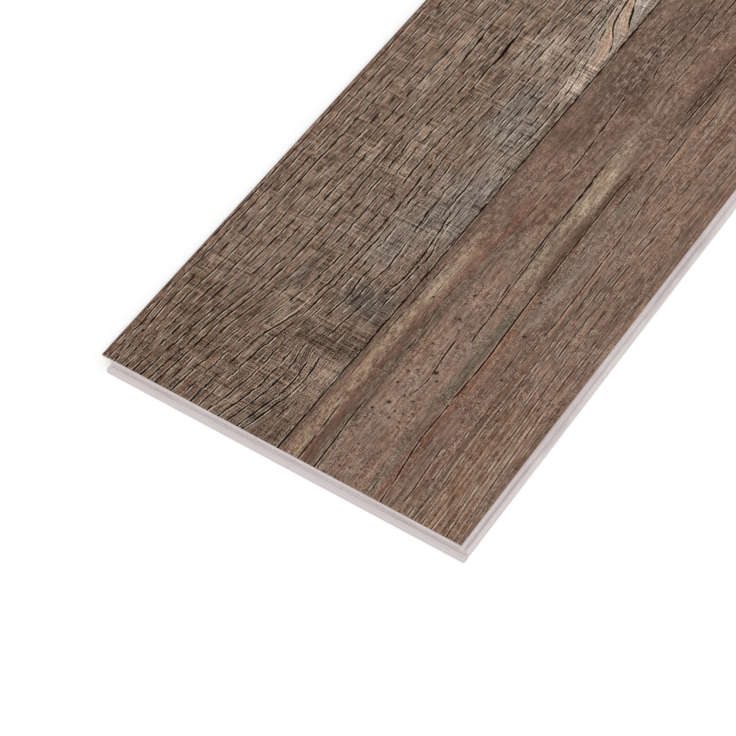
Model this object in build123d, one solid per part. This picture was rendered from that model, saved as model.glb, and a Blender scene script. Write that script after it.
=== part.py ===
from build123d import *
import os

# A rigid vinyl floor plank with milled locking edges, in millimetres.
# X runs across the width, Y along the length and Z up. The origin is under the middle of the plank,
# on the plane that it lies on. The low X side has the tongue and the high X side the lower lip.
# The low Y end has the hook, and the high Y end drops into the hook of the next plank.

# The visible face and the layers of the board
face_width = 180.0
face_length = 1220.0
wear_thickness = 0.5
core_thickness = 5.0

# Play between an edge and the edge that it locks into
fit_gap = 0.1

# Lower lips of both kinds, as heights above the underside
lip_floor = 1.3
bar_height = 2.3
bar_rounding = 0.35
foot_chamfer = 0.25

# Long sides: tongue, pocket for the tongue, and lip with its channel
lip_reach = 3.5
ramp_start = 0.6
channel_start = 0.5
channel_end = 1.75
bar_lean = 0.15
tongue_reach = 1.3
tongue_top = 3.9
tongue_height = 1.4
tongue_rounding = 0.45
pocket_rounding = 0.3

# Short ends: hook with its channel
hook_reach = 3.6
hook_channel = 1.4
hook_lean = 0.1

# Corners where the cutters run out
relief_length = 4.5
relief_width = 4.4
relief_skin = 0.5
corner_rounding = 0.6

# How far each cutter runs on past the board
overrun = 5.0

# Places worked out from the sizes above
face_left = (tongue_reach - face_width - lip_reach) / 2
face_right = face_left + face_width
face_near = (hook_reach - face_length) / 2
face_far = face_near + face_length
lip_edge = face_right + lip_reach
tongue_tip = face_left - tongue_reach
hook_edge = face_near - hook_reach
total_thickness = core_thickness + wear_thickness
tongue_foot = tongue_top - tongue_height
pocket_depth = tongue_reach + fit_gap
pocket_top = tongue_top + fit_gap
pocket_floor = tongue_foot - fit_gap
heel_floor = lip_floor + fit_gap
recess_roof = bar_height + fit_gap
side_recess = lip_reach + fit_gap
end_recess = hook_reach + fit_gap


def rounded_face(plane, corners):
    """Flat face through corners given as (across, up, radius)."""
    points = [(across, up) for across, up, radius in corners]
    radii = [radius for across, up, radius in corners]
    with BuildSketch(plane) as sketch:
        with BuildLine():
            FilletPolyline(*points, radius=radii, close=True)
        make_face()
    return sketch.sketch


def block(x_low, x_high, y_low, y_high, z_low, z_high):
    """Plain block between two values on each axis."""
    size = (x_high - x_low, y_high - y_low, z_high - z_low)
    middle = ((x_high + x_low) / 2, (y_high + y_low) / 2, (z_high + z_low) / 2)
    return Pos(*middle) * Box(*size)


def long_profile():
    """Section across the width: tongue side on the left, pocket and lower lip on the right."""
    tongue_side = [
        (face_left + side_recess, 0, 0),
        (face_left + side_recess, recess_roof, bar_rounding),
        (face_left + channel_end + bar_lean - fit_gap, recess_roof, 0),
        (face_left + channel_end - fit_gap, heel_floor, 0),
        (face_left + channel_start, heel_floor, 0),
        (face_left - ramp_start, tongue_foot, 0),
        (tongue_tip, tongue_foot, tongue_rounding),
        (tongue_tip, tongue_top, tongue_rounding),
        (face_left, tongue_top, 0),
        (face_left, core_thickness, 0),
    ]
    lip_side = [
        (face_right, core_thickness, 0),
        (face_right, pocket_top, 0),
        (face_right - pocket_depth, pocket_top, pocket_rounding),
        (face_right - pocket_depth, pocket_floor, pocket_rounding),
        (face_right - ramp_start, pocket_floor, 0),
        (face_right + channel_start, lip_floor, 0),
        (face_right + channel_end, lip_floor, 0),
        (face_right + channel_end + bar_lean, bar_height, 0),
        (lip_edge, bar_height, bar_rounding),
        (lip_edge, foot_chamfer, 0),
        (lip_edge - foot_chamfer, 0, 0),
    ]
    return tongue_side + lip_side


def hook_profile():
    """Section along the length of the hook that stands out from the near end."""
    return [
        (face_near, 0, 0),
        (face_near, lip_floor, 0),
        (face_near - hook_channel, lip_floor, 0),
        (face_near - hook_channel + hook_lean, bar_height, 0),
        (hook_edge, bar_height, bar_rounding),
        (hook_edge, foot_chamfer, 0),
        (hook_edge + foot_chamfer, 0, 0),
    ]


def drop_profile():
    """Section along the length of what is milled off under the far end."""
    return [
        (face_far + overrun, -overrun, 0),
        (face_far + overrun, heel_floor, 0),
        (face_far - hook_channel + fit_gap, heel_floor, 0),
        (face_far - hook_channel + fit_gap + hook_lean, recess_roof, 0),
        (face_far - end_recess, recess_roof, bar_rounding),
        (face_far - end_recess, -overrun, 0),
    ]


# Across the width the sketch plane looks along the length, and along it across the width
near_plane = Plane(origin=(0, face_near, 0), x_dir=(1, 0, 0), z_dir=(0, -1, 0))
hook_plane = Plane(origin=(face_left + relief_width, 0, 0), x_dir=(0, 1, 0), z_dir=(1, 0, 0))
drop_plane = Plane(origin=(tongue_tip - overrun, 0, 0), x_dir=(0, 1, 0), z_dir=(1, 0, 0))

board = extrude(rounded_face(near_plane, long_profile()), amount=-face_length)

# Far end: the underside is milled to drop over the next hook, and the lip stops before it
cutter_travel = lip_edge - tongue_tip + 2 * overrun
board -= extrude(rounded_face(drop_plane, drop_profile()), amount=cutter_travel)
board -= block(
    face_right, lip_edge + overrun, face_far - end_recess, face_far + overrun, -overrun, total_thickness
)

# The tongue is cut back at both ends, and the near corner behind it down to a thin skin
far_stop = face_far - relief_length
near_stop = face_near + relief_length
skin_floor = core_thickness - relief_skin
board -= block(tongue_tip - overrun, face_left, far_stop, face_far + overrun, -overrun, total_thickness)
board -= block(tongue_tip - overrun, face_left, face_near - overrun, near_stop, -overrun, total_thickness)
board -= block(
    face_left - overrun, face_left + relief_width, face_near - overrun, near_stop, -overrun, skin_floor
)

# Near end: the hook, with its free corners rounded in plan
hook = extrude(rounded_face(hook_plane, hook_profile()), amount=lip_edge - face_left - relief_width)
free_corners = hook.edges().filter_by(Axis.Z).group_by(Axis.Y)[0]
hook = fillet(free_corners, corner_rounding)

core = (board + hook).solid()
wear_layer = block(face_left, face_right, face_near, face_far, core_thickness, total_thickness)

os.makedirs("parts", exist_ok=True)
export_step(core, "parts/core.step")
export_step(wear_layer.solid(), "parts/wear_layer.step")
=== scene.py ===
import math

import bmesh
import bpy
import numpy as np
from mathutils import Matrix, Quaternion, Vector


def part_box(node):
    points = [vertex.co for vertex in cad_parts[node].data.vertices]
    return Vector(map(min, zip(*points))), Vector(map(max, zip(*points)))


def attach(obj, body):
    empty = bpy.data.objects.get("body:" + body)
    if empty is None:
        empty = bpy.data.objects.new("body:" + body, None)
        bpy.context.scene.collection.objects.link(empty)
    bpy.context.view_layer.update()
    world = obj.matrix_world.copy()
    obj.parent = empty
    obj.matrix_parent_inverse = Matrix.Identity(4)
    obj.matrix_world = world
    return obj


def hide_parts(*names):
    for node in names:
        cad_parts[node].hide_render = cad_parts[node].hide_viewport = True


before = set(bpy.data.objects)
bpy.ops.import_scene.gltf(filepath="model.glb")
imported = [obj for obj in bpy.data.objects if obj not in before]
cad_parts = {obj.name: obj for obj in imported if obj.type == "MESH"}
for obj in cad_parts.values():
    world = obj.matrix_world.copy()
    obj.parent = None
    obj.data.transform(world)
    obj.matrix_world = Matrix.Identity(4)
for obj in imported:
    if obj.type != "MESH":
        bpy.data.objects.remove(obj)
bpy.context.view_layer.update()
mm = 0.001

# The printed sheet lies on the core. Its corner is at the hook end on the tongue side.
sheetLow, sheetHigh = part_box("wear_layer")
faceCorner = Vector((sheetLow[0], sheetLow[1], sheetHigh[2]))
faceWidth = round((sheetHigh[0] - sheetLow[0]) / mm, 3)
faceLength = round((sheetHigh[1] - sheetLow[1]) / mm, 3)
millimetres = np.arange(int(faceLength) + 1)

# Settings that many shader nodes share
smooth = {"interpolation_type": "SMOOTHSTEP"}
colourMix = {"data_type": "RGBA"}
plus = {"operation": "ADD"}
minus = {"operation": "SUBTRACT"}
times = {"operation": "MULTIPLY"}
timesPlus = {"operation": "MULTIPLY_ADD"}
larger = {"operation": "MAXIMUM"}
unsigned = {"operation": "ABSOLUTE"}


def log(text):
    print("plank:", text)


def linearColour(code):
    values = [int(code[i:i + 2], 16) / 255 for i in (1, 3, 5)]
    return [v / 12.92 if v <= 0.04045 else ((v + 0.055) / 1.055) ** 2.4 for v in values] + [1.0]


def addNode(tree, kind, settings=None, inputs=None):
    # An input is a value, a hex colour, a socket, or a node that gives the first output it uses
    node = tree.nodes.new("ShaderNode" + kind)
    for name, value in (settings or {}).items():
        setattr(node, name, value)
    for name, value in (inputs or {}).items():
        if isinstance(value, bpy.types.Node):
            value = [output for output in value.outputs if output.enabled][0]
        if isinstance(value, bpy.types.NodeSocket):
            tree.links.new(value, node.inputs[name])
        else:
            node.inputs[name].default_value = linearColour(value) if isinstance(value, str) else value
    return node


def emptyTree(owner):
    owner.use_nodes = True
    owner.node_tree.nodes.clear()
    return owner.node_tree


def newMaterial(name):
    material = bpy.data.materials.new(name)
    return material, emptyTree(material)


def direction(azimuth, elevation):
    # From the plank towards the camera or the sun, in degrees
    turn, tilt = math.radians(azimuth), math.radians(elevation)
    return Vector((math.sin(turn) * math.cos(tilt), -math.cos(turn) * math.cos(tilt), math.sin(tilt)))


# Camera: a long lens off the near end, rolled a little, aimed at a point on the face (mm, degrees)
camera = {
    "lens": 121.62,
    "sensor": 36.0,
    "shift": (-0.00068, 0.00068),
    "aimAcross": 99.67,
    "aimAlong": 53.03,
    "distance": 1031.8,
    "azimuth": 38.86,
    "elevation": 52.39,
    "roll": -5.597,
    "nearest": 0.05,
    "farthest": 30.0,
}


def makeCamera():
    back = direction(camera["azimuth"], camera["elevation"])
    data = bpy.data.cameras.new("camera")
    data.lens = camera["lens"]
    data.sensor_width = camera["sensor"]
    data.shift_x, data.shift_y = camera["shift"]
    data.clip_start = camera["nearest"]
    data.clip_end = camera["farthest"]
    rig = bpy.data.objects.new("camera", data)
    bpy.context.scene.collection.objects.link(rig)
    rig.rotation_mode = "QUATERNION"
    rolled = Quaternion((0, 0, 1), math.radians(camera["roll"]))
    rig.rotation_quaternion = back.to_track_quat("Z", "Y") @ rolled
    aim = faceCorner + Vector((camera["aimAcross"], camera["aimAlong"], 0)) * mm
    rig.location = aim + back * camera["distance"] * mm
    bpy.context.scene.camera = rig


# Soft even light, a little stronger from the corner nearest the camera
light = {
    "sky": 0.66,
    "sun": 1.20,
    "sunSoftness": 25.0,
    "sunAzimuth": 34.0,
    "sunElevation": 42.0,
    "floorSize": 8.0,
    "floorShade": 0.70,
    "floorSeen": 1.12,
}


def seenDirectly(tree):
    path = addNode(tree, "LightPath").outputs
    seen = addNode(tree, "Math", larger, {0: path["Is Camera Ray"], 1: path["Is Glossy Ray"]})
    return addNode(tree, "Math", larger, {0: seen, 1: path["Is Transmission Ray"]})


def makeLight():
    scene = bpy.context.scene
    scene.view_settings.view_transform = "Standard"
    scene.world = bpy.data.worlds.new("softSky")
    tree = emptyTree(scene.world)
    strength = addNode(tree, "MapRange", {}, {"Value": seenDirectly(tree), "To Min": light["sky"]})
    sky = addNode(tree, "Background", {}, {"Color": "#FFFFFF", "Strength": strength})
    addNode(tree, "OutputWorld", {}, {"Surface": sky})

    sun = bpy.data.lights.new("softSun", "SUN")
    sun.energy = light["sun"]
    sun.angle = math.radians(light["sunSoftness"])
    lamp = bpy.data.objects.new("softSun", sun)
    scene.collection.objects.link(lamp)
    lamp.rotation_mode = "QUATERNION"
    towards = direction(light["sunAzimuth"], light["sunElevation"])
    lamp.rotation_quaternion = towards.to_track_quat("Z", "Y")


def makeFloor():
    bpy.ops.object.select_all(action="DESELECT")
    bpy.ops.mesh.primitive_plane_add(size=light["floorSize"], location=(0, 0, 0))
    floor = bpy.context.object
    floor.name = "floor"
    material, tree = newMaterial("whitePaintedFloor")
    shade = addNode(tree, "MapRange", {}, {
        "Value": seenDirectly(tree), "To Min": light["floorShade"], "To Max": light["floorSeen"]})
    matt = addNode(tree, "BsdfDiffuse", {}, {"Color": shade})
    addNode(tree, "OutputMaterial", {}, {"Surface": matt})
    floor.data.materials.append(material)


# The print shows two boards side by side. Every crack is a line of points (along, across, strength)
# in millimetres from the near corner. What the lines do past the given points is drawn at random.
crackedBoard = [
    [(0, 1, .2), (50, 1.2, .3), (90, 1.4, .5), (130, 1.8, .8), (170, 2, .4), (230, 2.2, .5),
     (300, 2.5, .5)],
    [(0, 3, .4), (20, 4, .5), (42, 3, .5), (60, 3.8, .6), (75, 4.6, .7), (90, 5, .6), (130, 5.6, .6),
     (170, 6.2, .5), (220, 7, .5), (300, 7, .5)],
    [(0, 6.5, .6), (15, 7.2, .5), (40, 6.8, .6), (52, 7.6, .6), (62, 8.6, .7), (90, 9.8, .5),
     (130, 10.2, .6), (160, 11, .7), (200, 11.5, .5), (300, 12, .5)],
    [(0, 10.2, .3), (20, 10.6, .3), (40, 11, .5), (60, 12.6, .6), (90, 14.4, .5), (130, 14.4, .6),
     (155, 15, 1), (170, 15.2, .6), (200, 16, .5), (300, 16.5, .5)],
    [(0, 12.6, .4), (20, 14.2, .5), (40, 16, .5), (60, 18.6, .6), (90, 20.6, .5), (130, 20.6, .4),
     (165, 22, .5), (220, 22.5, .5), (300, 23, .4)],
    [(0, 16.3, .9), (18, 17.8, .8), (42, 20.4, .8), (62, 23, .8), (88, 25, .9), (110, 25.8, .8),
     (165, 26.5, .8), (220, 27, .5), (300, 28, .5)],
    [(0, 20.3, .9), (12, 21.8, .7), (28, 23.2, .6), (50, 26, .7), (77, 29.4, .8), (90, 30, .5),
     (110, 30.5, .7), (140, 30.8, 1), (170, 31.5, .6), (220, 32.5, .6), (300, 33, .5)],
    [(0, 24.4, .7), (22, 27, .7), (42, 29, .8), (60, 32.5, .5), (90, 35.3, .4), (115, 35.4, .8),
     (145, 36, .6), (170, 36.5, .4), (218, 36.4, .7), (227, 36.3, 1.3), (234, 35.8, 1.5), (241, 35.2, 1.4),
     (247, 35, .5), (300, 37, .4)],
    [(0, 27.8, 1), (12, 29.5, .8), (35, 31.4, .7), (43, 32, 1), (52, 34.3, 1), (70, 37, .9), (90, 38.7, .8),
     (125, 39.6, .8), (165, 39, .7), (220, 41, .5), (300, 42, .5)],
    [(0, 32, .5), (22, 34.4, .5), (35, 35.6, 1), (43, 36.2, .9), (55, 39, .6), (70, 42, .4), (90, 44.4, .5),
     (120, 44.8, .8), (140, 44.4, .5), (160, 43.6, .8), (170, 43.2, .6), (200, 45.5, .5), (300, 47, .4)],
    [(0, 36.3, .9), (12, 37.6, .6), (40, 41, .3), (60, 44.4, .3), (90, 48, .2), (110, 49.3, .6),
     (145, 49, .3), (165, 47.8, .4), (210, 49.5, .6), (221, 49, .9), (228, 49.4, 1.5), (235, 49.6, 2.4),
     (241, 49.1, 2.2), (248, 48.8, 1.1), (256, 48.6, .6), (300, 51, .4)],
    [(0, 41.6, .3), (20, 43.4, .5), (42, 45.4, .5), (56, 48.5, .6), (72, 52, .7), (80, 53.5, 1),
     (88, 54, .9), (100, 55.3, .7), (130, 55, .5), (150, 54.4, .9), (165, 54, .7), (200, 55.5, .4),
     (300, 57, .5)],
    [(0, 46.4, .7), (15, 47.8, .6), (28, 49.2, .7), (42, 50.4, .8), (52, 54.4, .9), (66, 57.8, .8),
     (88, 59.6, .7), (110, 60.4, .9), (140, 60.2, 1), (152, 59.8, .9), (170, 58.5, .5), (220, 60, .5),
     (300, 62, .4)],
    [(0, 50.5, .4), (20, 52.8, .5), (39, 55.2, .9), (50, 57.4, .2), (65, 60.3, .4), (88, 62, .7),
     (110, 63.2, .5), (150, 62.8, .7), (170, 61.5, .4), (220, 64, .5), (300, 66, .5)],
    [(0, 55, .4), (8, 57.5, .8), (20, 59.8, .7), (35, 61, .6), (46, 61.2, .1), (58, 62.4, .3),
     (72, 64.6, .4), (95, 66, .5), (130, 66, .2), (155, 67, .7), (165, 66.6, .5), (220, 68.5, .4),
     (300, 70, .5)],
    [(0, 60.4, .9), (14, 64.8, .9), (25, 66.4, .8), (38, 67, .7), (47, 66.7, .7), (50, 66.3, 0),
     (64, 68.4, .5), (72, 69.8, .9), (80, 70.8, .8), (90, 69.6, .9), (100, 70, .4), (130, 70.3, .1),
     (165, 71.5, .3), (220, 72.5, .4), (300, 73.5, .4)],
    [(0, 65, .9), (10, 68, 1), (22, 70.4, 1), (30, 71.5, 1), (38, 71.2, .7), (47, 69.8, .8), (50, 69.8, 0),
     (70, 73.2, .2), (91, 74.4, .6), (98, 75.4, 1), (104, 75.9, .8), (120, 74.6, .6), (135, 73.4, .7),
     (150, 72.8, .5), (170, 74, .3), (220, 75.5, .4), (300, 76, .4)],
    [(0, 70.2, 1), (3, 71, 1), (20, 75.6, 1), (33, 77, .8), (42, 76, .7), (47, 74.4, .7), (50, 74, 0),
     (67, 76.4, .8), (77, 78.2, .9), (84, 79.2, .2), (104, 80, .1), (140, 80, .2), (150, 79.6, .7),
     (160, 79.7, .8), (170, 78.6, .5), (200, 79.5, .5), (240, 79, .5), (262, 78.2, .5), (285, 76.6, .4),
     (300, 76.5, .3)],
    [(0, 73.2, 1), (8, 75.5, 1), (18, 78, .9), (25, 79.6, .7), (35, 80.8, 1), (42, 79.6, .7), (48, 79, .1),
     (60, 80.5, 0), (80, 82, .1), (90, 83, .6), (100, 85, .8), (118, 85.2, .7), (125, 84, .8),
     (135, 83, .9), (145, 82, .6), (160, 82, .1), (175, 83, .2), (200, 84.5, .4), (225, 84.2, .5),
     (240, 83, .4), (262, 80.5, .4), (285, 77.8, .4), (300, 77, .3)],
    [(0, 80, .2), (20, 83, .3), (50, 84, .1), (80, 85.5, .2), (94, 86.2, .8), (104, 87, 1), (118, 87.9, .8),
     (126, 85.4, .8), (135, 84.6, .7), (150, 84.5, 0), (175, 86, .5), (190, 87.6, .6), (210, 88.4, .7),
     (225, 87.8, .8), (240, 86.6, .4), (262, 83.5, .3), (280, 80, .4), (300, 77.6, .3)],
    [(0, 86, .1), (50, 87, .1), (100, 89.4, .1), (118, 89.8, .1), (150, 91, 0), (163, 91.4, .6),
     (172, 90, .6), (180, 88.6, .3), (200, 90.6, .3), (225, 91, .3), (250, 91.9, 0), (258, 91.2, .4),
     (264, 89.8, .9), (268, 88.4, 1), (271, 86.8, 1), (274, 84.3, .8), (278, 82.7, 1), (285, 81.6, 1.1),
     (293, 80.6, .9), (305, 80, .4)],
    [(0, 90, 0), (100, 91.1, 0), (170, 92, 0), (220, 92.4, 0), (265, 92.9, 0), (275, 92, .3),
     (279, 90.2, .9), (282, 88.3, 1.3), (287, 87.2, 1.3), (291, 85.5, 1.1), (296, 83.5, .8),
     (305, 81.6, .5)],
]

jointLine = [(0, 91, 1), (40, 91.4, 1), (80, 92, 1.05), (130, 92.4, 1.2), (170, 92.7, 1.2), (220, 93, 1.2),
             (300, 93.6, 1.2), (460, 94.6, 1), (700, 93.4, 1), (980, 91, 1), (1220, 91.8, 1)]

smoothBoard = [
    [(0, 95.5, .1), (60, 94.9, .2), (110, 96, .3), (140, 97, .1), (300, 98, 0)],
    [(0, 101.2, .6), (15, 100.8, .6), (25, 100.2, .3), (40, 100, .1), (62, 100.5, .3), (80, 102, .2),
     (100, 101, .2), (150, 102, .1), (200, 102.5, .1), (280, 103.5, .3), (300, 104, .3)],
    [(0, 109.2, .8), (15, 108.6, .8), (26, 107.9, .4), (50, 107.2, .2), (62, 107, .2), (75, 108, .4),
     (85, 107.4, .3), (100, 106, .2), (130, 108.6, .2), (140, 110.5, .1), (160, 111.5, .2), (178, 112, .3),
     (188, 113.3, .6), (197, 113.8, .7), (206, 113.2, .7), (225, 112.2, .7), (237, 111.5, .6),
     (245, 110.8, .2), (262, 108.8, .4), (278, 108.3, .4), (300, 108, .2)],
    [(0, 116, 0), (60, 115, 0), (130, 115, .1), (160, 118, 0), (180, 119, .1), (250, 117, .2),
     (265, 114.5, .4), (300, 115, .5)],
    [(0, 121, 0), (50, 122, 0), (57, 124, .6), (64, 123.9, .5), (75, 122.9, .9), (84, 122.3, .8),
     (88, 122, 0), (120, 121.5, 0), (250, 120.5, .1), (280, 121, .4), (300, 120, .4)],
    [(0, 125, 0), (88, 126.5, 0), (110, 126.2, .1), (120, 125.7, .6), (135, 125.2, .7), (150, 124.7, .7),
     (160, 124, .2), (172, 123.4, 0), (300, 123.6, 0)],
    [(0, 129, 0), (60, 129, 0), (86, 128.7, .3), (90, 128.2, .7), (105, 127.5, .8), (120, 126.8, .7),
     (135, 126.3, .8), (150, 125.9, .7), (152, 125.4, .8), (160, 124.9, .9), (170, 124.9, 1.3),
     (182, 124.9, 1.5), (196, 124.5, 1.5), (204, 124.5, 1.1), (210, 124.8, .2), (240, 126, .1),
     (250, 125, .5), (300, 127, .2)],
    [(0, 135.4, .2), (8, 135, .2), (40, 134, 0), (140, 134.5, 0), (190, 135, .1), (300, 135, .1)],
    [(0, 141.4, .3), (12, 140.6, .4), (25, 139, .5), (35, 138.1, .6), (50, 138.2, .4), (60, 138.2, .5),
     (75, 138.8, .9), (88, 138.8, 1), (100, 138.1, 1), (115, 137.5, .8), (125, 137.2, .6), (130, 137.8, .4),
     (145, 137.6, .5), (165, 137.6, .4), (190, 137, .3), (225, 139, .1), (260, 140, .3), (300, 140, .3)],
    [(0, 144, 0), (100, 143, 0), (130, 142.4, .1), (165, 141.8, .3), (200, 141.6, .5), (225, 141.8, .5),
     (260, 142.5, .4), (300, 143, .3)],
    [(0, 149.9, .7), (12, 149.4, .7), (25, 148.4, .5), (36, 147.8, .2), (60, 148.5, 0), (78, 148.3, .1),
     (84, 148.3, .5), (92, 148.2, .2), (120, 148.3, 0), (200, 148, .2), (220, 147.5, .35), (240, 146.8, .3),
     (265, 146.5, .25), (300, 147, .2)],
    [(0, 154.5, .3), (35, 152.8, .4), (60, 152, .2), (100, 152.4, .3), (115, 152.9, .4), (140, 152.7, .6),
     (165, 152.2, .6), (175, 152, .4), (185, 150.8, .5), (200, 150.5, .4), (300, 152, .2)],
    [(0, 158, .3), (15, 158.6, .4), (40, 157.2, .2), (60, 157, .3), (75, 157.2, .4), (120, 156.9, .4),
     (133, 156.5, .5), (150, 156, .2), (300, 157, .2)],
    [(0, 161.2, .3), (15, 160.8, .4), (30, 160.2, .6), (50, 159.6, .6), (75, 159.2, .5), (90, 158.9, .4),
     (110, 159.3, .3), (165, 160.5, .4), (200, 161.5, .4), (240, 163.5, .4), (300, 164, .2)],
    [(0, 165.8, .4), (14, 165.6, .5), (30, 164.4, .4), (60, 164.6, .3), (90, 163.5, .4), (110, 163, .3),
     (150, 163, .5), (170, 163.8, .3), (200, 166, .2), (300, 168, .2)],
    [(0, 171.5, .5), (20, 170, .5), (45, 168.8, .5), (70, 168.2, .5), (90, 167.6, .4), (150, 167, .2),
     (300, 171, .2)],
    [(0, 176.8, .7), (15, 176, .8), (30, 174.9, .8), (50, 174, .8), (65, 173.2, .8), (80, 172.6, .7),
     (90, 172.2, .4), (130, 172, .2), (300, 175, .2)],
    [(0, 179, .2), (90, 177.5, .2), (300, 178.5, .2)],
]

# How the cracks are pressed into the sheet, and the mesh that carries them
emboss = {
    "seed": 11,
    "crackDepth": 0.26,
    "jointDepth": 0.38,
    "deepest": 0.42,
    "shoulder": 0.30,
    "jointShoulder": 0.50,
    "widestShoulder": 0.3,  # as a share of the space between two cracks
    "between": 3,
    "fineRows": 150,
    "fineLength": 330.0,
    "coarseRows": 230,
    "leastGap": 0.45,
    "squeezedGap": 0.6,  # as a share of the least gap
    "clearOfJoint": 1.3,
    "wander": 0.07,
    "straightWander": 0.04,
}

# Lines past the drawn part: how far that reaches, where their points lie and over what length they
# settle, then for each board a strength and the waves (size, length, start, step from line to line)
beyond = {
    "knownLength": 300,
    "firstPoint": 24,
    "pointStep": 22,
    "settleLength": 130,
    "cracked": (0.85, [(2.4, 150, 0.4, 0.30), (1.3, 83, 2.0, 0.42), (1.6, 410, 1.1, 0.15)]),
    "smooth": (0.42, [(1.3, 240, 0.9, 0.35), (0.9, 520, 2.4, 0.2)]),
}


def softened(values, spread):
    window = np.hanning(2 * spread + 3)[1:-1]
    padded = np.pad(values, spread, mode="edge")
    return np.convolve(padded, window / window.sum(), mode="valid")


def unevenness(dice, spread):
    # Smooth random values with a mean of 0 and a spread of 1
    values = softened(dice.normal(size=len(millimetres)), spread)
    return (values - values.mean()) / values.std()


def beyondKnown(points, number, count, low, high, board, dice):
    # Points for the rest of the length: evenly shared lines that sway together
    known, first = beyond["knownLength"], beyond["firstPoint"]
    strong, sway = beyond[board]
    taper = min(1.0, 0.25 * min(number + 0.5, count - number - 0.5))
    extra = []
    for along in range(known + first, int(faceLength) + first, beyond["pointStep"]):
        settle = min(1.0, (along - known) / beyond["settleLength"])
        even = np.interp(along, millimetres, low + (high - low) * (number + 0.7) / (count + 0.4))
        waves = sum(size * math.sin(2 * math.pi * along / length + turn + number * step)
                    for size, length, turn, step in sway)
        across = points[-1][1] * (1 - settle) + (even + taper * waves) * settle
        strength = strong * dice.uniform(0.25, 1.0) if dice.random() < 0.8 else strong * 1.6
        extra.append((along, across, strength))
    return points + extra


def jointPlaces(along):
    return np.interp(along, [p[0] for p in jointLine], [p[1] for p in jointLine])


def drawLines():
    # Across position and strength of every line for each millimetre of length
    dice = np.random.default_rng(emboss["seed"])
    joint = jointPlaces(millimetres)
    cracked = [beyondKnown(points, number, len(crackedBoard), 0, joint, "cracked", dice)
               for number, points in enumerate(crackedBoard)]
    plain = [beyondKnown(points, number, len(smoothBoard), joint, faceWidth, "smooth", dice)
             for number, points in enumerate(smoothBoard)]
    across, strength = [], []
    for number, points in enumerate(cracked + [jointLine] + plain):
        places = [p[0] for p in points]
        line = softened(np.interp(millimetres, places, [p[1] for p in points]), 4)
        if number < len(crackedBoard):
            line = line + emboss["wander"] * unevenness(dice, 4)
        elif number > len(crackedBoard):
            line = line + emboss["straightWander"] * unevenness(dice, 9)
        across.append(line)
        strength.append(softened(np.interp(millimetres, places, [p[2] for p in points]), 2))
    return keepApart(np.array(across)), np.array(strength)


def keepApart(across):
    # Lines keep a gap between them and stay clear of the joint and of the sheet's sides
    gap, clear, joint = emboss["leastGap"], emboss["clearOfJoint"], len(crackedBoard)
    squeezed = gap * emboss["squeezedGap"]
    fixed = across[joint].copy()
    across[joint - 1] = np.minimum(across[joint - 1], fixed - clear)
    for number in range(joint - 2, -1, -1):
        across[number] = np.minimum(across[number], across[number + 1] - gap)
    across[0] = np.maximum(across[0], gap)
    for number in range(1, joint):
        across[number] = np.maximum(across[number], across[number - 1] + squeezed)
    across[joint + 1] = np.maximum(across[joint + 1], fixed + clear)
    for number in range(joint + 1, len(across)):
        across[number] = np.maximum(across[number], across[number - 1] + gap)
    across[-1] = np.minimum(across[-1], faceWidth - gap)
    for number in range(len(across) - 2, joint, -1):
        across[number] = np.minimum(across[number], across[number + 1] - squeezed)
    return across


def layOut():
    # Places and values for every point of the sheet's top, as rows along and columns across
    lines, strengths = drawLines()
    fine = np.linspace(0, emboss["fineLength"], emboss["fineRows"] + 1)
    coarse = np.linspace(emboss["fineLength"], faceLength, emboss["coarseRows"] + 1)
    rows = np.concatenate([fine, coarse[1:]])
    across = np.array([np.interp(rows, millimetres, line) for line in lines])
    strength = np.array([np.interp(rows, millimetres, line) for line in strengths])
    edge = np.zeros((1, len(rows)))
    across = np.concatenate([edge, across, edge + faceWidth])
    strength = np.concatenate([edge, strength, edge])
    joint = len(crackedBoard) + 1
    spaces = across[1:] - across[:-1]
    columns = []  # place across, number of the line, strength, space around it and depth
    for k in range(len(across)):
        before, after = spaces[max(k - 1, 0)], spaces[min(k, len(spaces) - 1)]
        depth = np.minimum(emboss["crackDepth"] * strength[k], emboss["deepest"])
        if k == joint:
            depth = edge[0] + emboss["jointDepth"]
        columns.append((across[k], edge[0] + k, strength[k], (before + after) / 2, depth))
        if k == len(across) - 1:
            break
        gap = spaces[k]
        here, there = [emboss["jointShoulder" if line == joint else "shoulder"] for line in (k, k + 1)]
        first = np.minimum(here / gap, emboss["widestShoulder"])
        last = 1 - np.minimum(there / gap, emboss["widestShoulder"])
        steps = emboss["between"] + 1
        for share in [first + (last - first) * i / steps for i in range(steps + 1)]:
            power = strength[k] * (1 - share) + strength[k + 1] * share
            columns.append((across[k] + gap * share, k + share, power, gap, edge[0]))
    return rows, [np.array(part).T for part in zip(*columns)]


# Colours of the two boards and of the joint between them
printLook = {
    "cracked": "#766151",
    "smooth": "#7D6455",
    "jointShade": "#3A281C",
    "jointShadeWidth": 0.9,
    "jointShadeCover": 0.75,
}

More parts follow.
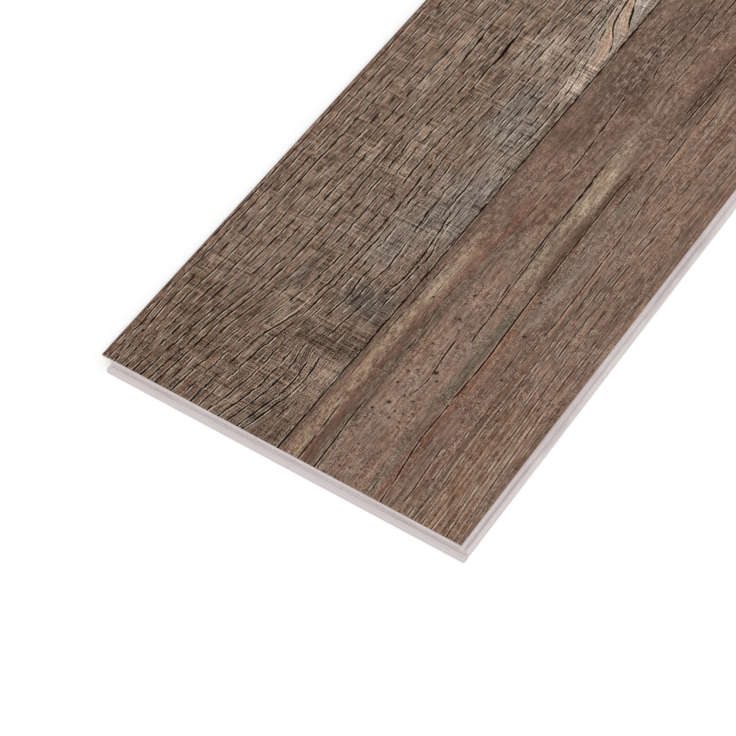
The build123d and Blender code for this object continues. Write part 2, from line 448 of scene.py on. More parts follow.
# Streaks and worn patches: a middle line of points (along, across) in millimetres, its half width,
# its colour and how much it covers
patches = {
    "near end in shade": ([(-5, 24), (60, 32)], 38, "#5E4838", .6),
    "red left edge": ([(-10, 1), (300, 2)], 4, "#755546", .45),
    "near end by the joint": ([(-8, 78), (18, 82)], 13, "#57473B", .65),
    "pale before the band": ([(28, 84), (48, 85)], 7, "#8C7767", .5),
    "sawn band": ([(50, 80), (64, 81)], 19, "#57473C", .75),
    "worn grey low": ([(74, 79), (90, 80)], 13, "#4E4641", .8),
    "worn grey low left": ([(72, 47), (92, 49)], 4, "#645951", .6),
    "worn grey mid": ([(100, 70), (165, 76)], 12, "#7B7067", .6),
    "worn grey by the crack": ([(100, 51), (140, 52)], 3.5, "#84766D", .4),
    "pale by the joint": ([(128, 87), (172, 87)], 8, "#857B73", .65),
    "pale grey by the joint": ([(174, 84), (206, 86)], 8, "#8A7F75", .55),
    "pale knot side": ([(146, 49), (186, 48)], 6, "#927D6A", .6),
    "pale low middle": ([(44, 51), (74, 56)], 3, "#8F7B69", .6),
    "pale middle": ([(100, 30), (162, 31)], 4.5, "#8E7B6A", .5),
    "grey high": ([(188, 75), (226, 77)], 11, "#80766D", .6),
    "pale far": ([(195, 29), (240, 33)], 5.5, "#A08A77", .55),
    "brown high": ([(222, 48), (250, 45)], 7, "#6A5647", .45),
    "pale top": ([(232, 63), (258, 68)], 9, "#A99989", .65),
    "pale top edge": ([(262, 71), (300, 76)], 8, "#8E7F72", .5),
    "swirl": ([(225, 89), (262, 87), (300, 82)], 7, "#AF9C8B", .9),
    "swirl heart": ([(258, 88.5), (280, 86), (300, 80)], 2.5, "#BFA48B", .8),
    "swirl grey": ([(261, 91), (271, 88.6), (277, 85.6)], 1.7, "#A39A92", .6),
    "swirl grey top": ([(279, 91.4), (288, 89.6), (300, 88)], 2.3, "#9B928B", .75),
    "swirl rust": ([(256, 88.5), (266, 86.8), (274, 83)], 1.2, "#AE8569", .5),
    "swirl rust top": ([(276, 89.4), (284, 86.2), (294, 82.6)], 1.2, "#B28A6E", .5),
    "shade beside the joint": ([(-5, 93.6), (60, 94.2), (130, 95), (220, 95.6), (300, 96)],
        2.3, "#5F4B3E", .45),
    "tan streak": ([(-5, 98), (30, 97.6), (70, 98), (104, 101), (132, 102.5)], 3.2, "#8B705A", .7),
    "tan streak heart": ([(96, 100.5), (130, 102)], 2.4, "#AB927B", .8),
    "red streak": ([(-5, 104), (50, 102.5), (84, 104), (110, 106), (130, 108.5), (165, 110)],
        1.8, "#704B3B", .75),
    "green strip": ([(-5, 107), (50, 107.4), (95, 108.4), (135, 112), (158, 113.5)], 3, "#5C4F44", .75),
    "pale mottle": ([(30, 121), (70, 125), (128, 122)], 11, "#927767", .5),
    "red beside the strip": ([(152, 116), (180, 118), (235, 118), (250, 116)], 3.5, "#6F5143", .65),
    "green middle": ([(-5, 135.5), (30, 134.5), (88, 134.5)], 2.5, "#6E6253", .6),
    "green beside the crack": ([(56, 135.4), (84, 136.2), (112, 135.6)], 1.9, "#554C42", .75),
    "green fork": ([(82, 128), (98, 134), (112, 135.5)], 3, "#756B5C", .5),
    "red by the crack": ([(-5, 139), (30, 139.5), (95, 140.5), (128, 139.5)], 1.8, "#7A5542", .7),
    "dark red": ([(124, 137.5), (140, 136.6), (176, 136.8), (206, 137.4)], 2.7, "#492F25", .88),
    "tan green": ([(124, 129), (158, 128.5), (180, 129)], 3.6, "#8C7B68", .8),
    "tan green bright": ([(170, 130), (200, 129.5), (219, 128)], 3.8, "#AD9A84", .85),
    "grey green": ([(106, 144), (150, 144.5), (190, 144.5)], 4.2, "#84766A", .7),
    "grey mid": ([(130, 119), (150, 121)], 4, "#857366", .5),
    "orange line": ([(60, 153.6), (110, 154), (165, 153.4)], .9, "#8F6A50", .25),
    "grey line low": ([(0, 157), (40, 156.6), (75, 157)], 1.6, "#6E6254", .35),
    "grey line mid": ([(112, 157.6), (138, 157.2)], 1, "#695B50", .7),
    "dark above": ([(196, 102), (220, 105), (252, 110)], 7.5, "#564338", .75),
    "red knot": ([(234, 116), (252, 116)], 3.5, "#52332A", .6),
    "dark high": ([(238, 141), (290, 142)], 5, "#574237", .8),
    "speckled high": ([(236, 106), (270, 109), (312, 118)], 12, "#5E4C42", .7),
    "light edge": ([(198, 149), (275, 152)], 2.6, "#9A7F6B", .6),
    "grey high right": ([(200, 124), (250, 133)], 7, "#77665A", .45),
    "light right": ([(150, 160), (225, 160)], 12, "#856B5B", .5),
    "red right": ([(-5, 166), (70, 163)], 10, "#785A46", .55),
}

# Past the part drawn one by one, streaks come at random between these lowest and highest values
randomStreaks = {
    "count": 150,
    "start": (270, faceLength),
    "cover": (.35, .8),
    "cracked": {
        "colours": ["#665242", "#7E7066", "#8F7B69", "#645347", "#7A6A5E", "#755546", "#8B7F78"],
        "length": (25, 90), "middle": (0, 91), "drift": 2, "half": (2.5, 11),
    },
    "smooth": {
        "colours": ["#8A7058", "#754F3E", "#6C6152", "#958572", "#5A4034", "#857868", "#68554A", "#7C553F"],
        "length": (40, 160), "middle": (94, 180), "drift": 3, "half": (1.2, 5),
    },
}

# Where the surface changes: middle across and half width, then middle along and half length
kindPlaces = {
    "pitStrip": (121, 12),
    "pitGroup": (108, 9, 272, 34),
    "swirl": (86, 7, 275, 26),
    "sawnBand": (77, 14, 58, 8),
    "tanFlakes": (98.8, 2.6),
    "lumps": (107, 9, 262, 30),
    "middleFlakes": (121, 11),
    "sideFlakes": (166, 9),
}


def around(place, across, along, power=2):
    # 1 in the middle of a place, falling to 0 around it
    away = ((across - place[0]) / place[1]) ** power
    if len(place) > 2:
        away = away + ((along - place[2]) / place[3]) ** power
    return np.exp(-away)


def paint(tint, along, across, path, half, code, cover):
    middle = np.interp(along, [p[0] for p in path], [p[1] for p in path])
    start, stop = path[0][0], path[-1][0]
    fade = min(14.0, 0.6 * (stop - start))
    inside = np.minimum(along - start, stop - along) / fade
    ends = np.clip(inside + 0.5, 0, 1)
    share = around((middle, half), across, along) * (ends * ends * (3 - 2 * ends)) * cover
    colour = np.array(linearColour(code)[:3])
    tint += (colour - tint) * share[..., None]


def printTint(along, across, joint):
    dice = np.random.default_rng(emboss["seed"] + 1)
    onSmooth = (across > joint)[..., None]
    cracked, plain, shade = [
        np.array(linearColour(printLook[name])[:3]) for name in ("cracked", "smooth", "jointShade")]
    tint = np.where(onSmooth, plain, cracked)
    painted = {"cracked": tint.copy(), "smooth": tint.copy()}
    for path, half, code, cover in patches.values():
        middle = path[len(path) // 2]
        board = "smooth" if middle[1] > jointPlaces(middle[0]) else "cracked"
        paint(painted[board], along, across, path, half, code, cover)
    for number in range(randomStreaks["count"]):
        board = "smooth" if number % 2 else "cracked"
        kind = randomStreaks[board]
        code = dice.choice(kind["colours"])
        start = dice.uniform(*randomStreaks["start"])
        length = dice.uniform(*kind["length"])
        middle = dice.uniform(*kind["middle"])
        drift = dice.normal() * kind["drift"]
        half = dice.uniform(*kind["half"])
        path = [(start, middle), (start + length / 2, middle + drift * 0.7),
                (start + length, middle + drift)]
        paint(painted[board], along, across, path, half, code, dice.uniform(*randomStreaks["cover"]))
    tint = np.where(onSmooth, painted["smooth"], painted["cracked"])
    away = np.abs(across - joint) / printLook["jointShadeWidth"]
    near = np.exp(-away ** 1.5) * printLook["jointShadeCover"]
    return tint + (shade - tint) * near[..., None]


def surfaceKinds(along, across, joint):
    # How much each place is pitted, finely grained, sawn or flaked, as red, green, blue and alpha
    onSmooth = across > joint
    there = {name: around(place, across, along, 4 if name == "sawnBand" else 2)
             for name, place in kindPlaces.items()}
    wave = 0.5 + 0.5 * np.sin(along / 61.0 + 1.1)
    pitted = np.where(onSmooth, 0.30 + 0.7 * there["pitStrip"] * wave, 0.12)
    pitted = np.maximum(pitted, there["pitGroup"])
    fading = 0.42 + 0.29 * (1 + np.cos(along / 55.0))
    grained = np.where(onSmooth, 0.20 + 0.80 * fading / (1 + np.exp(-(across - 151) / 2.5)), 0.2)
    sawn = np.where(onSmooth, 0.05, 1.0 - 0.9 * there["swirl"] + 0.6 * there["sawnBand"])
    flaked = np.maximum.reduce([
        there["tanFlakes"] * (0.6 + 0.4 * np.sin(along / 47.0)), 0.7 * there["lumps"],
        0.32 * there["middleFlakes"], 0.28 * there["sideFlakes"]])
    return np.stack([pitted, grained, sawn, np.where(onSmooth, flaked, 0.0)], axis=-1)


def gridMesh(rows, columns):
    # A flat grid with walls and an underside, by hand: extrude its border down, close it and clean it
    bpy.ops.object.select_all(action="DESELECT")
    bpy.ops.mesh.primitive_grid_add(x_subdivisions=columns, y_subdivisions=rows, size=1, location=(0, 0, 0))
    sheet = bpy.context.object
    bpy.ops.object.mode_set(mode="EDIT")
    bpy.ops.mesh.select_all(action="SELECT")
    bpy.ops.mesh.select_mode(type="EDGE")
    bpy.ops.mesh.region_to_loop()
    bpy.ops.mesh.extrude_edges_move(TRANSFORM_OT_translate={"value": (0, 0, -0.1)})
    bpy.ops.mesh.edge_face_add()
    bpy.ops.mesh.select_mode(type="FACE")
    bpy.ops.mesh.select_all(action="SELECT")
    bpy.ops.mesh.normals_make_consistent(inside=False)
    shape = bmesh.from_edit_mesh(sheet.data)
    for face in shape.faces:
        face.select_set(face.normal.z < 0.5)
    bmesh.update_edit_mesh(sheet.data)
    bpy.ops.mesh.dissolve_limited(angle_limit=math.radians(1))
    bpy.ops.object.mode_set(mode="OBJECT")
    return sheet


def placePoints(sheet, rows, across, drops):
    mesh = sheet.data
    flat = np.empty(len(mesh.vertices) * 3)
    mesh.vertices.foreach_get("co", flat)
    points = flat.reshape(-1, 3)
    column = np.rint((points[:, 0] + 0.5) * (across.shape[1] - 1)).astype(int)
    row = np.rint((points[:, 1] + 0.5) * (len(rows) - 1)).astype(int)
    points[:, 0] = faceCorner.x + across[row, column] * mm
    points[:, 1] = faceCorner.y + rows[row] * mm
    points[:, 2] = np.where(points[:, 2] > -0.05, sheetHigh[2] - drops[row, column] * mm, sheetLow[2])
    mesh.vertices.foreach_set("co", points.ravel())
    mesh.update()
    return row, column


def makeWearLayer():
    rows, (across, numbers, powers, gaps, drops) = layOut()
    along = np.repeat(rows[:, None], across.shape[1], axis=1)
    joint = jointPlaces(rows)[:, None]
    sheet = gridMesh(len(rows) - 1, across.shape[1] - 1)
    sheet.name = sheet.data.name = "embossedSheet"
    log("sheet has %d points" % len(sheet.data.vertices))
    row, column = placePoints(sheet, rows, across, drops)
    mesh = sheet.data
    tint = np.concatenate([printTint(along, across, joint), np.ones(across.shape + (1,))], axis=-1)
    for name, kind, part, values in [
        ("grain", "FLOAT_VECTOR", "vector", np.stack([numbers, along, gaps], axis=-1)),
        ("crackStrength", "FLOAT", "value", powers),
        ("printTint", "FLOAT_COLOR", "color", tint),
        ("surfaceKind", "FLOAT_COLOR", "color", surfaceKinds(along, across, joint)),
    ]:
        field = mesh.attributes.new(name, kind, "POINT")
        field.data.foreach_set(part, values[row, column].astype(np.float32).ravel())
    mesh.materials.append(embossedFilm())
    mesh.materials.append(cutFilmEdge("sawnClearVinylEnd", *filmLook["sawnEnd"]))
    mesh.materials.append(cutFilmEdge("milledClearVinylSide", *filmLook["milledSide"]))
    for face in mesh.polygons:
        if abs(face.normal.x) > 0.9:
            face.material_index = 2
        elif abs(face.normal.z) < 0.3 or face.normal.z < 0:
            face.material_index = 1
    bpy.ops.object.select_all(action="DESELECT")
    sheet.select_set(True)
    bpy.context.view_layer.objects.active = sheet
    bpy.ops.object.shade_smooth_by_angle(angle=math.radians(65))
    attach(sheet, "root")
    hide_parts("wear_layer")


# What the print and its emboss show: the colours of their marks, and sizes in millimetres
filmLook = {
    "crackOnSawn": "#1E0B02",
    "crackOnSmooth": "#2A1005",
    # pale of the lips, worn edges with a painted highlight, and of the painted highlight beside hair cracks
    "pale": "#E8D6C2",
    "flake": "#B8A28B",
    "pit": "#38261B",
    "darkest": (0.24, 0.17, 0.13),  # times the board's own colour, as is the next
    "palest": (2.6, 2.75, 2.85),
    "redder": (1.03, 0.98, 0.97, 1),
    "greener": (0.97, 1.0, 1.03, 1),
    "sawnEnd": ("#A79689", "#D3C6BD"),
    "milledSide": ("#7D685A", "#A08C7D"),
    "lineSpacing": 4.5,
    "crackHeart": 0.19,  # half width that is fully dark
    "crackHalf": 0.27,  # half width of the faintest crack
    "crackWiden": 0.42,  # what a strong one has more
    "lipInside": (0.34, 0.52),
    "lipOutside": (0.62, 1.00),
    "sawPitch": 20.0,
    "sawStart": 9.0,
    "crackRelief": -0.20,
    "markRelief": -0.10,
    "printRelief": 0.08,
    "roughness": 0.55,
    "filmShine": 0.06,
}

# Patterns in the print: what they follow (the drawn lines, the straight board, or each strip between
# two cracks), width and length, detail, how soft their edges are, strength, and the part they show on
printPatterns = [
    ("lines", .55, 12, 2, .12, .27, "sawn"),
    ("board", .55, .5, 2, .11, .38, "sawn"),
    ("strips", 4.5, .66, 2, .1, .12, "rungs"),
    ("board", 20, .7, 2, .1, .2, "rungs"),
    ("strips", 60, 6, 2, .2, .05, "sawn"),
    ("lines", 1.1, 45, 2, .14, .07, "sawn"),
    ("lines", .6, 12, 3, .16, .12, "smooth"),
    ("lines", .6, 90, 2, .14, .24, "grained"),
    ("board", .65, .8, 3, .14, .2, "rough"),
    ("board", 2.2, 2.8, 4, .13, .1, "rough"),
    ("lines", 7, 60, 2, .25, .05, "all"),
    ("board", 9, 13, 3, .25, .04, "smooth"),
]

# Pits of the smooth board (across, along, radius)
pits = [
    (116.6, 43.2, 1.1), (121.2, 36.6, .8), (127, 34.2, .6), (112.2, 37.4, .7), (113.8, 53.6, .8),
    (120.3, 49.3, .8), (125.1, 48.8, .5), (115.2, 78, .7), (124.8, 65.8, 1.2), (127.4, 62.4, .8),
    (117.6, 94.8, .9), (116, 108.6, .8), (145.6, 101, .9), (148.2, 62, .6), (145.4, 56.4, .5),
    (147.8, 50.6, .6), (149.8, 77, .8), (157.3, 63, .6), (119.4, 61, .5), (125, 81.4, .6),
    (142, 120, .7), (101.4, 99.2, .7), (110.6, 71, .5), (142.6, 84.2, .5), (118.4, 72.6, .5),
    (104, 262, .9), (110.2, 270, 1), (106.6, 281, .8), (113, 254, .8), (109, 246, .7),
]


def streakNoise(tree, place, across, along, detail=2.0, roughness=0.5):
    # Uneven streaks of a given width and length in millimetres
    scaled = addNode(tree, "VectorMath", times, {0: place, 1: (1 / across, 1 / along, 1)})
    return addNode(tree, "TexNoise", {"noise_dimensions": "2D"}, {
        "Vector": scaled, "Scale": 1.0, "Detail": detail, "Roughness": roughness})


def streaks(tree, place, size, edge, levels=(0.0, 1.0), detail=2.0, roughness=0.5):
    # Streaks that go softly from one level to another: their width and length, and where they turn over
    return addNode(tree, "MapRange", smooth, {
        "Value": streakNoise(tree, place, *size, detail, roughness),
        "From Min": edge[0], "From Max": edge[1], "To Min": levels[0], "To Max": levels[1]})


def lineMark(tree, value, middle, start, reach, level):
    # A soft line wherever a value passes its middle
    away = addNode(tree, "Math", unsigned, {0: addNode(tree, "Math", minus, {0: value, 1: middle})})
    return addNode(tree, "MapRange", smooth, {
        "Value": away, "From Min": start, "From Max": reach, "To Min": level, "To Max": 0})


def crackLines(tree, grain, strength, sawn):
    # Distance to the nearest drawn line, a little ragged, then how dark the crack and pale its lips are
    number, along, gap = addNode(tree, "SeparateXYZ", {}, {0: grain}).outputs
    flat = addNode(tree, "CombineXYZ", {}, {0: number, 1: along})
    step = addNode(tree, "Math", {"operation": "SNAP"}, {0: along, 1: filmLook["sawPitch"] / 4})
    jog = addNode(tree, "TexWhiteNoise", {"noise_dimensions": "1D"}, {"W": step})
    # Sideways sway in millimetres, much less on the smooth board
    sway, total = 0.0, 0.0
    for shift, amount in [
        (streakNoise(tree, flat, 1.2, 11), 0.60), (streakNoise(tree, flat, 0.45, 1.7), 0.75), (jog, 0.35),
    ]:
        sway = addNode(tree, "Math", timesPlus, {0: shift, 1: amount, 2: sway})
        total += amount
    sway = addNode(tree, "Math", minus, {0: sway, 1: total / 2})
    loose = addNode(tree, "MapRange", {}, {"Value": sawn, "To Min": 0.25})
    sway = addNode(tree, "Math", times, {0: sway, 1: loose})
    sway = addNode(tree, "Math", {"operation": "DIVIDE"}, {0: sway, 1: gap})
    moved = addNode(tree, "Math", plus, {0: number, 1: sway})
    strip = addNode(tree, "Math", {"operation": "FLOOR"}, {0: moved})
    share = addNode(tree, "Math", {"operation": "WRAP"}, {0: moved, 1: -0.5, 2: 0.5})
    offset = addNode(tree, "Math", times, {0: share, 1: gap})
    distance = addNode(tree, "Math", unsigned, {0: offset})
    # Cracks break off and thicken along their way
    broken = streaks(tree, flat, (0.9, 6), (0.36, 0.62), (0.28, 1.55), 3)
    power = addNode(tree, "Math", times, {0: strength, 1: broken})
    split = addNode(tree, "Math", timesPlus, {0: strength, 1: 2, 2: -1.6})
    power = addNode(tree, "Math", larger, {0: power, 1: split})
    # A wide split is dark right across, and its lips lie further out
    opening = addNode(tree, "Math", dict(timesPlus, use_clamp=True), {
        0: power, 1: filmLook["crackWiden"], 2: -0.60})
    distance = addNode(tree, "Math", minus, {0: distance, 1: opening})
    power = addNode(tree, "Math", {"operation": "MINIMUM"}, {0: power, 1: 1.55})
    width = addNode(tree, "Math", timesPlus, {0: power, 1: filmLook["crackWiden"], 2: filmLook["crackHalf"]})
    thin = addNode(tree, "MapRange", {}, {"Value": sawn, "To Min": 0.80})
    width = addNode(tree, "Math", times, {0: width, 1: thin})
    line = addNode(tree, "MapRange", smooth, {
        "Value": distance, "From Min": filmLook["crackHeart"], "From Max": width,
        "To Min": 1, "To Max": 0})
    enough = addNode(tree, "MapRange", smooth, {"Value": power, "From Min": 0.06, "From Max": 0.48})
    crack = addNode(tree, "Math", times, {0: line, 1: enough})
    # Pale lips on both sides, in patches: partly worn edges and partly a painted highlight, stronger on one
    # side as if lit from it
    inside, outside = filmLook["lipInside"], filmLook["lipOutside"]
    lipWearAndHighlight = addNode(tree, "MapRange", smooth, {
        "Value": distance, "From Min": inside[0], "From Max": inside[1]})
    fall = addNode(tree, "MapRange", smooth, {
        "Value": distance, "From Min": outside[0], "From Max": outside[1], "To Min": 1, "To Max": 0})
    patchy = streaks(tree, flat, (0.45, 7), (0.43, 0.57), detail=3)
    side = addNode(tree, "MapRange", {}, {
        "Value": offset, "From Min": -0.1, "From Max": 0.1, "To Min": 0.55})
    for part in (fall, enough, patchy, side):
        lipWearAndHighlight = addNode(tree, "Math", times, {0: lipWearAndHighlight, 1: part})
    return crack, lipWearAndHighlight, flat, strip


def pitMarks(tree, board, pitted):
    # Random pits in groups, one every 4 by 5 mm or so, and those drawn one by one
    holes = addNode(tree, "VectorMath", times, {0: board, 1: (0.25, 0.2, 0)})
    holes = addNode(tree, "TexVoronoi", {"voronoi_dimensions": "2D"}, {"Vector": holes, "Scale": 1})
    pit = addNode(tree, "MapRange", smooth, {
        "Value": holes, "From Min": 0.05, "From Max": 0.18, "To Min": 1, "To Max": 0})
    for part in (streaks(tree, board, (8, 12), (0.5, 0.62)), pitted):
        pit = addNode(tree, "Math", times, {0: pit, 1: part})
    ragged = streakNoise(tree, board, 0.8, 1)
    uneven = addNode(tree, "VectorMath", timesPlus, {0: ragged, 1: (1.2, 1.2, 0), 2: board})
    for across, along, radius in pits:
        away = addNode(tree, "VectorMath", {"operation": "DISTANCE"}, {
            0: uneven, 1: (across + 0.6, along + 0.6, 0.0)})
        hole = addNode(tree, "MapRange", smooth, {
            "Value": away, "From Min": 0.4 * radius, "From Max": 1.2 * radius,
            "To Min": 1, "To Max": 0})
        pit = addNode(tree, "Math", larger, {0: pit, 1: hole})
    return pit


def sawLines(tree, along, board):
    # Pale lines that a band saw left straight across, with a darker one behind each
    cloud = streakNoise(tree, board, 9, 13, 3, 0.6)
    bend = addNode(tree, "Math", timesPlus, {0: cloud, 1: 1.6, 2: along})
    turn = addNode(tree, "Math", minus, {0: bend, 1: filmLook["sawStart"] + 0.8})
    turn = addNode(tree, "Math", {"operation": "WRAP"}, {
        0: turn, 1: -filmLook["sawPitch"] / 2, 2: filmLook["sawPitch"] / 2})
    total = 0.0
    for place, reach, amount in [(0.0, 0.7, 0.30), (-1.3, 0.6, -0.18)]:
        total = addNode(tree, "Math", plus, {0: lineMark(tree, turn, place, 0.1, reach, amount), 1: total})
    return addNode(tree, "Math", times, {0: total, 1: streaks(tree, board, (24, 9), (0.4, 0.55))})


def printShade(tree, follow, along, sawn, grained):
    # Light and dark of the print, 0.5 in the middle: patterns that show on some parts, then saw lines
    board = follow["board"]
    onSmooth = addNode(tree, "Math", dict(minus, use_clamp=True), {0: 1.05, 1: sawn})
    rough = streaks(tree, board, (9, 17), (0.38, 0.62), (0.45, 1.1))
    rough = addNode(tree, "Math", times, {0: rough, 1: onSmooth})
    rungs = streaks(tree, board, (26, 9), (0.38, 0.62), (0.4, 1.3))
    deep = addNode(tree, "MapRange", {}, {"Value": sawn, "From Min": 1, "From Max": 1.6, "To Max": 0.9})
    rungs = addNode(tree, "Math", timesPlus, {0: rungs, 1: sawn, 2: deep})
    parts = {
        "all": 1.0, "sawn": sawn, "rungs": rungs, "smooth": onSmooth, "grained": grained, "rough": rough,
    }
    shade = 0.5
    for way, width, length, detail, soft, amount, part in printPatterns:
        edge, levels = (0.5 - soft, 0.5 + soft), (-amount, amount)
        pattern = streaks(tree, follow[way], (width, length), edge, levels, detail, 0.6)
        shade = addNode(tree, "Math", timesPlus, {0: pattern, 1: parts[part], 2: shade})
    return addNode(tree, "Math", timesPlus, {0: sawLines(tree, along, board), 1: sawn, 2: shade})


def hairCracks(tree, lines, most):
    # Hair cracks between the drawn ones: dark ones, and beside them pale lines that are a painted highlight
    patch = addNode(tree, "Math", times, {0: streaks(tree, lines, (3, 14), (0.46, 0.62)), 1: most})
    hair = streakNoise(tree, lines, 1.5, 70, 3, 0.55)
    marks = []
    for middle, reach, cover in [(0.5, 0.034, 0.85), (0.565, 0.036, 0.5)]:
        line = lineMark(tree, hair, middle, 0.0, reach, cover)
        marks.append(addNode(tree, "Math", times, {0: line, 1: patch}))
    return marks


def embossedFilm():
    # Vinyl film printed like old oak, under clear vinyl pressed with its grain: satin, nearly matt
    material, tree = newMaterial("embossedVinylOverPrintedFilm")
    grain = addNode(tree, "Attribute", {"attribute_name": "grain"}).outputs["Vector"]
    strength = addNode(tree, "Attribute", {"attribute_name": "crackStrength"}).outputs["Fac"]
    tint = addNode(tree, "Attribute", {"attribute_name": "printTint"}).outputs["Color"]
    kind = addNode(tree, "Attribute", {"attribute_name": "surfaceKind"}).outputs
    pitted, grained, sawn = addNode(tree, "SeparateColor", {}, {0: kind["Color"]}).outputs
    crack, lipWearAndHighlight, flat, strip = crackLines(tree, grain, strength, sawn)
    along = addNode(tree, "SeparateXYZ", {}, {0: flat}).outputs["Y"]

    # Places in millimetres: on the straight board, following the drawn lines, and for each strip
    place = addNode(tree, "TexCoord").outputs["Object"]
    board = addNode(tree, "VectorMath", timesPlus, {
        0: place, 1: (1 / mm, 1 / mm, 0), 2: (-faceCorner.x / mm, -faceCorner.y / mm, 0)})
    lines = addNode(tree, "VectorMath", times, {0: flat, 1: (filmLook["lineSpacing"], 1, 0)})
    apart = addNode(tree, "Math", times, {0: strip, 1: 37})  # far apart in the pattern
    apart = addNode(tree, "CombineXYZ", {}, {0: apart})
    strips = addNode(tree, "VectorMath", plus, {0: lines, 1: apart})
    follow = {"board": board, "lines": lines, "strips": strips}

    # Each board's own colour goes darker and paler with the shade of the print
    shade = printShade(tree, follow, along, sawn, grained)
    dark = addNode(tree, "VectorMath", times, {0: tint, 1: filmLook["darkest"]})
    pale = addNode(tree, "VectorMath", times, {0: tint, 1: filmLook["palest"]})
    toTint = addNode(tree, "MapRange", {}, {"Value": shade, "From Max": 0.5})
    toPale = addNode(tree, "MapRange", {}, {"Value": shade, "From Min": 0.5})
    colour = addNode(tree, "Mix", colourMix, {0: toTint, 6: dark, 7: tint})
    colour = addNode(tree, "Mix", colourMix, {0: toPale, 6: colour, 7: pale})

    # Hue drifts between red and green in long streaks
    hue = streaks(tree, lines, (4.5, 60), (0.32, 0.68), detail=3)
    hue = addNode(tree, "Mix", colourMix, {0: hue, 6: filmLook["redder"], 7: filmLook["greener"]})
    colour = addNode(tree, "Mix", dict(colourMix, blend_type="MULTIPLY"), {0: 1, 6: colour, 7: hue})

    # Marks over the print. Lips and hair cracks are faint on the smooth board.
    most = addNode(tree, "MapRange", {}, {"Value": sawn, "To Min": 0.35})
    lipPart = addNode(tree, "Math", dict(timesPlus, use_clamp=True), {0: grained, 1: 0.35, 2: most})
    lipWearAndHighlight = addNode(tree, "Math", times, {0: lipWearAndHighlight, 1: lipPart})
    flake = streaks(tree, board, (2, 4.5), (0.52, 0.60), (0, 0.85), 4, 0.6)
    flake = addNode(tree, "Math", times, {0: flake, 1: kind["Alpha"]})
    darkHair, hairHighlight = hairCracks(tree, lines, most)
    mark = addNode(tree, "Math", larger, {0: darkHair, 1: pitMarks(tree, board, pitted)})
    crackPart = addNode(tree, "MapRange", {}, {
        "Value": grained, "From Min": 0.2, "To Min": 1, "To Max": 0.45})
    crack = addNode(tree, "Math", times, {0: crack, 1: crackPart})
    crackColour = addNode(tree, "Mix", colourMix, {
        0: sawn, 6: filmLook["crackOnSmooth"], 7: filmLook["crackOnSawn"]})
    # The pale lips are worn edges with a painted highlight, and the pale hair lines are a painted highlight
    for cover, over in [
        (lipWearAndHighlight, filmLook["pale"]), (flake, filmLook["flake"]), (hairHighlight, filmLook["pale"]),
        (mark, filmLook["pit"]), (crack, crackColour),
    ]:
        colour = addNode(tree, "Mix", colourMix, {0: cover, 6: colour, 7: over})

    # Emboss in millimetres: cracks and pits go down, fibres and saw marks stand a little proud
    height = 0.0
    for part, relief in [(crack, "crackRelief"), (mark, "markRelief"), (shade, "printRelief")]:
        height = addNode(tree, "Math", timesPlus, {0: part, 1: filmLook[relief], 2: height})
    bump = addNode(tree, "Bump", {}, {"Distance": mm, "Height": height})
    film = addNode(tree, "BsdfPrincipled", {}, {
        "Base Color": colour, "Roughness": filmLook["roughness"], "IOR": 1.5,
        "Specular IOR Level": filmLook["filmShine"], "Normal": bump})
    addNode(tree, "OutputMaterial", {}, {"Surface": film})
    return material


def cutFilmEdge(name, dark, pale):
    # Cut edge of the clear vinyl: milky at the sawn ends, stained brown along the milled sides
    material, tree = newMaterial(name)
    place = addNode(tree, "TexCoord").outputs["Object"]
    scuff = addNode(tree, "TexNoise", {}, {"Vector": place, "Scale": 2500, "Detail": 3})
    colour = addNode(tree, "Mix", colourMix, {0: scuff, 6: dark, 7: pale})
    bump = addNode(tree, "Bump", {}, {"Strength": 0.4, "Distance": 0.05 * mm, "Height": scuff})
    film = addNode(tree, "BsdfPrincipled", {}, {
        "Base Color": colour, "Roughness": 0.5, "IOR": 1.5, "Normal": bump})
    addNode(tree, "OutputMaterial", {}, {"Surface": film})
    return material


# The core: pressed limestone powder and PVC, milled at the edges
coreLook = {
    "body": "#ECE4E4",
    "shade": "#DBD2D3",
    # grey of the near end's lip and channel past the face, a painted shade
    "hook": "#D3CACB",
    "speck": "#B5ABAD",
    # warm brown just under the print's edge on the long sides, partly painted shade
    "brownTintAndShade": "#CDB9AC",
    "grit": 0.45,
    "millStep": 0.5,
    "relief": 0.06,
    "roughness": 0.6,
}


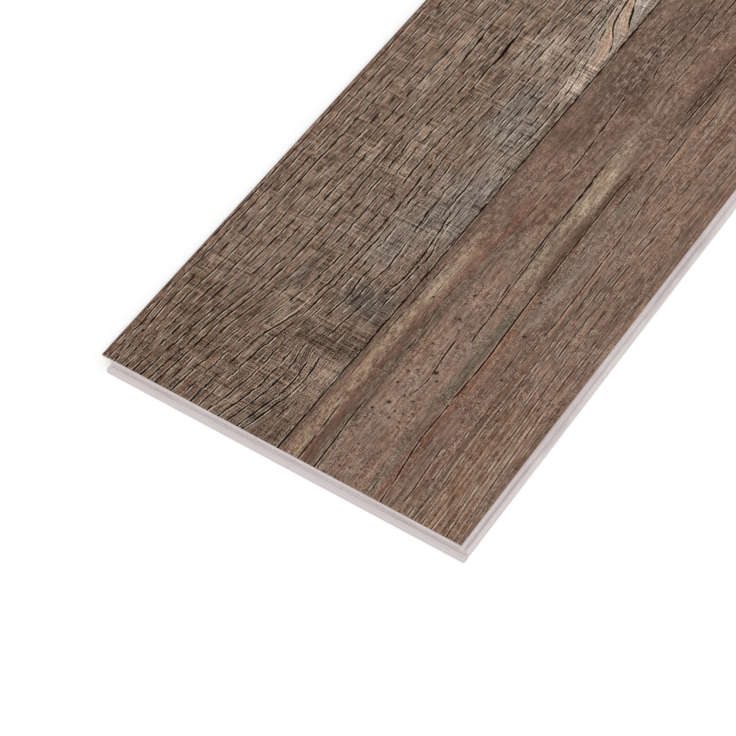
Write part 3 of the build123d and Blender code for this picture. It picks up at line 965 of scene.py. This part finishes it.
def milledStonePlastic():
    # Off-white with a grey lilac cast, fine grit in it and the lines that the cutters left
    material, tree = newMaterial("milledStonePlasticCore")
    place = addNode(tree, "TexCoord").outputs["Object"]
    across, along, up = addNode(tree, "SeparateXYZ", {}, {0: place}).outputs
    cloud = addNode(tree, "TexNoise", {}, {"Vector": place, "Scale": 90, "Detail": 3})
    colour = addNode(tree, "Mix", colourMix, {0: cloud, 6: coreLook["shade"], 7: coreLook["body"]})
    grit = addNode(tree, "TexNoise", {}, {
        "Vector": place, "Scale": 1 / mm / coreLook["grit"], "Roughness": 0.6})
    speck = addNode(tree, "MapRange", smooth, {
        "Value": grit, "From Min": 0.33, "From Max": 0.42, "To Min": 0.6, "To Max": 0})
    # Cutter lines run along each edge, so they are stretched far less across the height
    layers = addNode(tree, "VectorMath", times, {0: place, 1: (30, 30, 1 / mm / coreLook["millStep"])})
    lines = addNode(tree, "TexNoise", {}, {"Vector": layers, "Scale": 1})
    line = addNode(tree, "MapRange", smooth, {
        "Value": lines, "From Min": 0.38, "From Max": 0.5, "To Min": 0.35, "To Max": 0})
    # Warm brown at the top of the long sides, just under the print's edge: partly a warm brown tone, partly
    # painted shade
    high = addNode(tree, "MapRange", smooth, {
        "Value": up, "From Min": sheetLow[2] - 2.2 * mm, "From Max": sheetLow[2] - 0.1 * mm})
    aside = addNode(tree, "Math", unsigned, {0: across})
    aside = addNode(tree, "MapRange", {}, {
        "Value": aside, "From Min": sheetHigh[0] - 1 * mm, "From Max": sheetHigh[0] - 0.3 * mm})
    brownTintAndShade = addNode(tree, "Math", times, {0: high, 1: aside})
    # The near end's lip and channel, past the face, are greyer: painted shade
    hook = addNode(tree, "MapRange", {}, {
        "Value": along, "From Min": sheetLow[1] - 1.2 * mm, "From Max": sheetLow[1] - 0.4 * mm,
        "To Min": 0.8, "To Max": 0})
    for cover, name in [(speck, "speck"), (line, "speck"), (brownTintAndShade, "brownTintAndShade"), (hook, "hook")]:
        colour = addNode(tree, "Mix", colourMix, {0: cover, 6: colour, 7: coreLook[name]})
    height = addNode(tree, "Math", plus, {0: grit, 1: lines})
    bump = addNode(tree, "Bump", {}, {
        "Strength": 0.6, "Distance": coreLook["relief"] * mm, "Height": height})
    body = addNode(tree, "BsdfPrincipled", {}, {
        "Base Color": colour, "Roughness": coreLook["roughness"], "IOR": 1.5, "Normal": bump})
    addNode(tree, "OutputMaterial", {}, {"Surface": body})
    return material


def finishCore():
    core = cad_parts["core"]
    material = milledStonePlastic()
    for slot in core.material_slots:
        slot.material = material
    if not core.material_slots:
        core.data.materials.append(material)


makeCamera()
makeLight()
makeFloor()
log("camera, light and floor are set")
finishCore()
log("core is finished")
makeWearLayer()
log("embossed sheet is made")
